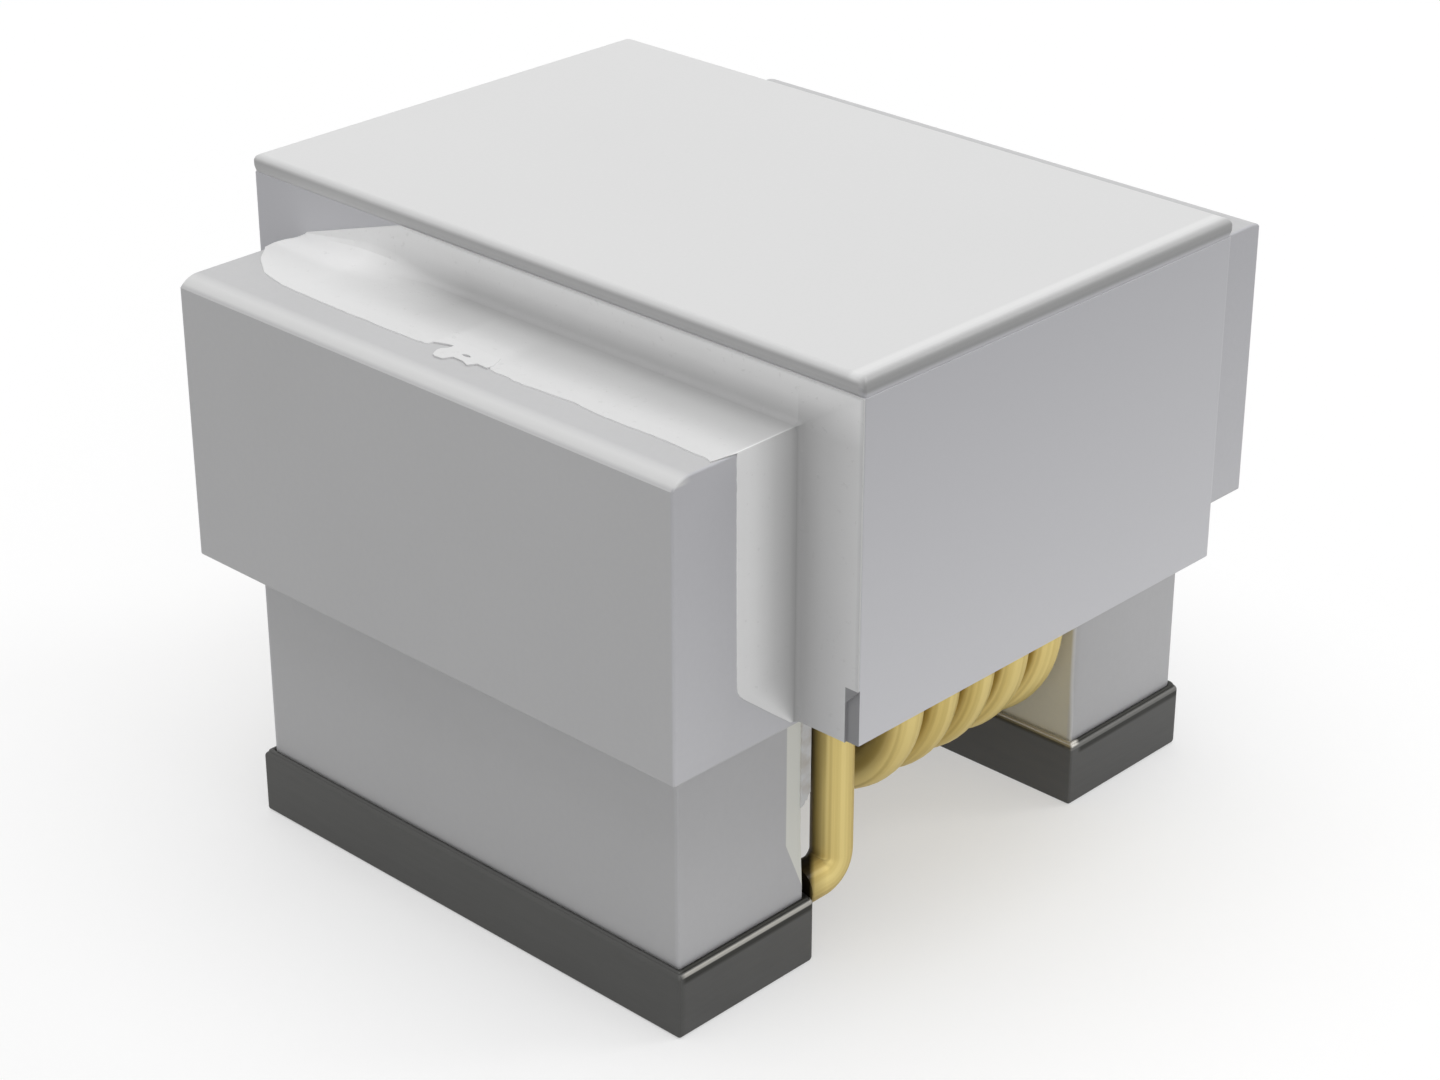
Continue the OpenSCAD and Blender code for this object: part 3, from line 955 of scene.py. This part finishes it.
# painted shade in the curl of the roll, lighter lower down and darker still on the near side
roll_shade_grey = blend(ramp(z, cap_hi.z - 0.012, WALL_Z), grey(0.42), grey(0.58))
near_edge = ramp(y, 0.03 - WALL_Y, 0.01 - WALL_Y)
roll_shade = ramp(z, cap_hi.z - 0.012, cap_hi.z - 0.026) * ramp(z, WALL_Z, WALL_Z + 0.0005) * (1 - near_edge)
near_roll_shade = ramp(y, 0.03 - WALL_Y, -WALL_Y) * ramp(z, WALL_Z + 0.008, WALL_Z + 0.021)
# painted highlight: a faint pale line on the top beside the near edge
painted_highlight_band = ramp(abs(y + (WALL_Y - 0.053)), 0.022, 0.008)
notch_face = ramp(x, -WALL_X + NOTCH_D + 0.0005, -WALL_X + NOTCH_D) * ramp(y, NOTCH_Y + 0.002, NOTCH_Y)
notch_face = notch_face * ramp(z, NOTCH_TOP + 0.002, NOTCH_TOP)
body = blend(flow, grey(0.705), grey(0.73))
body = blend(painted_highlight_band, body, grey(0.79))
body = blend(ramp(z, cap_hi.z - 0.03, cap_hi.z - 0.035), body, wall)
body = blend(0.06 * fine, body, grey(0.5))
body = blend(0.85 * near_roll_shade, blend(roll_shade, body, roll_shade_grey), grey(0.29))
feed(shader, {"Base Color": blend(notch_face, body, grey(0.30, 0.03)),
              "Roughness": 0.34 + 0.1 * fine,
              "Normal": relief(fine, 0.0003)})
dress(material, cap)

# %% [markdown]
# The resin is whitest where it lies free, and painted shade darkens it in the hollow by the cap. The
# grid's own map runs across the section, so ramps on it paint that shade: white at the lip, dark in the
# hollow, light again under the roll. The flange's side has a ramp of painted shade of its own, and so
# has the far end, where the painted shade in the hollow fades out. The skin on the leg is stained.
# The rear strip is the front one turned half round, so a value that changes sign runs along both.

# %% Resin
material, shader, grid = new_finish("set_resin")
x, y, z = axes(grid)
chart = grid.node("ShaderNodeUVMap", {"uv_map": "UVMap"})
lane = chart.node("ShaderNodeSeparateXYZ", values={0: chart}, out=1)
# painted shade across the section, darkest in the hollow by the cap
top = tones(lane, [(0.0, 0.775), (0.147, 0.745), (0.184, 0.715), (0.25, 0.61), (0.294, 0.55),
                   (0.375, 0.45), (0.42, 0.40), (0.47, 0.47), (0.531, 0.60), (0.65, 0.74),
                   (0.723, 0.85), (0.88, 0.96), (0.912, 0.66)])
flank = tones(lane, [(0.147, 0.94), (0.184, 0.90), (0.25, 0.77), (0.294, 0.67), (0.375, 0.54), (0.42, 0.38),
                     (0.47, 0.43), (0.531, 0.51), (0.65, 0.62), (0.88, 0.78), (0.912, 0.66)])
thin = tones(lane, [(0.35, 0.80), (0.5, 0.94)])
milk = cloud(grid, 7, 4, 0.55)
specks = ramp(cloud(grid, 45, 2), 0.66, 0.74)
front = ramp(x, 0.01, -0.01)
run = y * (2 * front - 1)
beside = ramp(run, 0.002 - FLANGE_Y, -FLANGE_Y) * ramp(z, FLANGE_Z + 0.12, FLANGE_Z)
notch_face = front * ramp(y, NOTCH_Y + 0.0015, NOTCH_Y + 0.0005) * ramp(z, NOTCH_TOP + 0.002, NOTCH_TOP)
stained = ramp(cloud(grid, 13, 3), 0.42, 0.62) * ramp(z, 1.05, 1.03)
body = blend(ramp(run, 0.3, 0.8), blend(beside, top, flank), thin)
body = blend(0.08 * milk + 0.15 * specks, body, grey(0.5))
body = blend(0.6 * stained, body, (0.52, 0.47, 0.40, 1))
feed(shader, {"Base Color": blend(notch_face, body, grey(0.30, 0.03)),
              "Roughness": 0.45 + 0.2 * milk,
              "Normal": relief(milk + 0.2 * specks, 0.003)})
dress(material, resin, rear_resin)

# %% [markdown]
# The wire is copper under golden enamel. Broad and fine drawing marks run along it, which is why the
# noise is read from the wire's own round and length, drawn out lengthwise. The flanks turned to the
# turn before have painted brown shade, more on the later turns than on the lead and the first turn,
# with a thin painted brown line on them, and the painted shade is darkest deep in the seams.

# %% Enamelled wire
material, shader, grid = new_finish("enamelled_copper")
where = grid.node("ShaderNodeAttribute", {"attribute_name": "lay"}, out="Vector")
flank = grid.node("ShaderNodeAttribute", {"attribute_name": "seam"}, out="Fac")
along = where.node("ShaderNodeSeparateXYZ", values={0: where}, out=2)
broad = cloud(stretched(where, (1.5, 1.5, 0.2)), 1.0, 2)
marks = cloud(stretched(where, (5, 5, 0.35)), 1.6, 3, 0.6)
on_lead, at_first = ramp(along, 2, 1.5), ramp(along, 9, 8)
# painted shade on the flanks between the turns, darkest deep in the seams
seam_shade = ramp(flank - 0.16 * at_first, 0.56, 0.8) * (0.75 - 0.55 * at_first + 0.7 * on_lead)
body = blend(ramp(0.8 * broad + 0.2 * marks, 0.36, 0.56), (0.74, 0.57, 0.19, 1), (0.96, 0.78, 0.32, 1))
body = blend((0.5 + 0.4 * on_lead - 0.4 * at_first) * ramp(flank, 0.35, 0.8), body, (0.50, 0.35, 0.08, 1))
body = blend(0.7 * (1 - at_first) * ramp(flank, 0.2, 0.45), body, (0.40, 0.27, 0.06, 1))
body = blend(0.35 * ramp(abs(flank - 0.16), 0.1, 0.03), body, (0.45, 0.31, 0.07, 1))
body = blend(seam_shade, body, (0.05, 0.033, 0.007, 1))
print("wire so far", len(material.node_tree.nodes), "nodes")

# %% [markdown]
# The foot of the front lead has painted shade, brown to nearly black, on the side turned to the leg.
# That side lies askew to the axes, so a sum of two of them measures how far a point stands from the
# lead's middle that way.

# %% Foot of the lead
ASKEW_X, ASKEW_Y = 0.6906, 0.7232

x, y, z = axes(grid)
aside = ASKEW_X * (x - LEAD_X) - ASKEW_Y * (y + COIL_Y)
# painted shade, brown to nearly black, on the foot of the lead beside the leg
foot = ramp(along, 0.5, 0.4) * ramp(z, 0.36, 0.33)
body = blend(0.6 * foot * ramp(aside, -0.015, -0.07), body, (0.25, 0.16, 0.03, 1))
body = blend(foot * ramp(aside, -0.058, -0.076) * ramp(z, 0.19, 0.22), body, (0.012, 0.009, 0.005, 1))
feed(shader, {"Base Color": body,
              "Metallic": 0.35,
              "Roughness": 0.36 + 0.2 * marks,
              "Normal": relief(broad + 0.3 * marks, 0.0015),
              "Specular Tint": (0.5, 0.38, 0.15, 1),
              "Coat Weight": 0.12, "Coat Roughness": 0.2})
dress(material, wire)

# %% [markdown]
# The terminals are dark satin plating, with a fine dark line along the foot and painted shade in the
# grooves above and below the shoulder. Two rims have painted highlights: the rear one's inner bead,
# and the shoulder on the front one's near side.

# %% Plated metal
material, shader, grid = new_finish("dark_plating")
x, y, z = axes(grid)
haze = cloud(grid, 3, 4, 0.6)
scuffs = cloud(stretched(grid, (4, 4, 40)), 1.0, 3)
body = blend(haze, (0.085, 0.085, 0.083, 1), (0.122, 0.122, 0.119, 1))
body = blend(0.25 * scuffs, body, (0.155, 0.153, 0.147, 1))
outer = ramp(x, -1.30, -1.32)
near_rim = ramp(y, -1.0, -1.01) * (1 - outer)
turned_in = ramp(x, 0.5, 0.6) * ramp(x, 0.74, 0.72)
# painted shade in the grooves above and below the shoulder
below = ramp(z, 0.198, 0.21) * ramp(z, 0.226, 0.223) * (1 - outer) * (1 - turned_in)
groove_shade = below + ramp(z, 0.238, 0.241) * near_rim
body = blend(0.85 * groove_shade + 0.6 * ramp(z, 0.012, 0.004) + 0.22 * outer, body, (0.03, 0.03, 0.026, 1))
# painted highlights on the rear terminal's inner bead and on the front one's near shoulder
facing = ramp(z, 0.234, 0.24) * turned_in
streak = ramp(z, 0.225, 0.228) * ramp(z, 0.239, 0.236) * near_rim
painted_highlight_line = 0.95 * facing + (0.10 + 0.45 * ramp(x, 0.1, -0.1)) * streak
feed(shader, {"Base Color": blend(painted_highlight_line, body, (0.62, 0.60, 0.55, 1)),
              "Metallic": 0.85,
              "Roughness": 0.42 + 0.16 * haze,
              "Normal": relief(scuffs + haze, 0.0008)})
dress(material, *cups)

# %% [markdown]
# ## Studio
#
# The part stands on a pale floor. For the camera, in reflections and through glass the floor glows up
# to white, but it lights the part only as pale grey card would, and it keeps the shadow. Light Path
# tells these rays apart, for the floor here and for the sky in the next cell.

# %% Floor
FLOOR_TONE = 0.56
FLOOR_GLOW = 1.02 - FLOOR_TONE


def seen_white(tree):
    """1 for the camera, in reflections and through glass, and 0 for light on its way to the part."""
    rays = tree.nodes.new("ShaderNodeLightPath").outputs
    seen = Link(tree, rays["Is Camera Ray"])
    for name in ("Is Glossy Ray", "Is Transmission Ray"):
        seen = seen.sum("MAXIMUM", seen, Link(tree, rays[name]))
    return seen


clear()
bpy.ops.mesh.primitive_plane_add(size=0.4, location=(0, 0, 0))
floor = added("floor")
material = bpy.data.materials.new("pale_card")
material.use_nodes = True
tree = material.node_tree
seen = seen_white(tree)
card = seen.node("ShaderNodeBsdfDiffuse", values={"Color": grey(FLOOR_TONE)})
glow = seen.node("ShaderNodeEmission", values={"Color": grey(1), "Strength": FLOOR_GLOW * seen})
both = seen.node("ShaderNodeAddShader", values={0: card, 1: glow})
tree.links.new(both.socket, tree.nodes["Material Output"].inputs["Surface"])
dress(material, floor)

# %% [markdown]
# The sky lights the part evenly from all round. One wide lamp overhead, two weaker ones at the right
# and a fill beside the camera give it shape. A sun's strength is given as the share of full light that
# falls on a face turned to it, and its angle sets how soft its shadow is.

# %% Sky and lamps
SKY = 0.38
LAMPS = [("top_lamp", (0, 0, 1), 0.475, 60),
         ("side_lamp", (0.15, -0.65, 0.75), 0.03, 40),
         ("edge_lamp", (0.648, -0.424, 0.597), 0.11, 16),
         ("fill_lamp", (-0.6, -0.75, 0.25), 0.10, 40)]

world = bpy.data.worlds.new("studio")
world.use_nodes = True
bpy.context.scene.world = world
strength = SKY + (1 - SKY) * seen_white(world.node_tree)
sky = world.node_tree.nodes["Background"].inputs
sky["Color"].default_value = grey(1)
world.node_tree.links.new(strength.socket, sky["Strength"])
for name, towards, share, angle in LAMPS:
    lamp = bpy.data.lights.new(name, "SUN")
    lamp.energy = share * math.pi
    lamp.angle = math.radians(angle)
    holder = bpy.data.objects.new(name, lamp)
    bpy.context.scene.collection.objects.link(holder)
    holder.rotation_euler = Vector(towards).to_track_quat("Z", "Y").to_euler()
    print(name, share, "of full light over", angle, "degrees")

# %% [markdown]
# The camera stands where the photograph's stood. Its place, its direction and its focal length in
# pixels were found from the straight edges of the part, and the frame is 1440 pixels wide.

# %% Camera
FRAME_PX = 1440
FOCAL_PX = 3251.26
EYE = Vector((-7.50725, -7.11599, 6.10707))
LOOK = Vector((0.64763, 0.61836, -0.44521))

lens = bpy.data.cameras.new("camera")
lens.sensor_width = 36
lens.lens = 36 * FOCAL_PX / FRAME_PX
lens.clip_start = 0.0001
lens.clip_end = 1
camera = bpy.data.objects.new("camera", lens)
bpy.context.scene.collection.objects.link(camera)
camera.location = EYE * MM
camera.rotation_euler = LOOK.to_track_quat("-Z", "Y").to_euler()
bpy.context.scene.camera = camera
bpy.context.scene.view_settings.view_transform = "Standard"
print("lens", round(lens.lens, 1), "mm,", round(EYE.length, 1), "mm away")
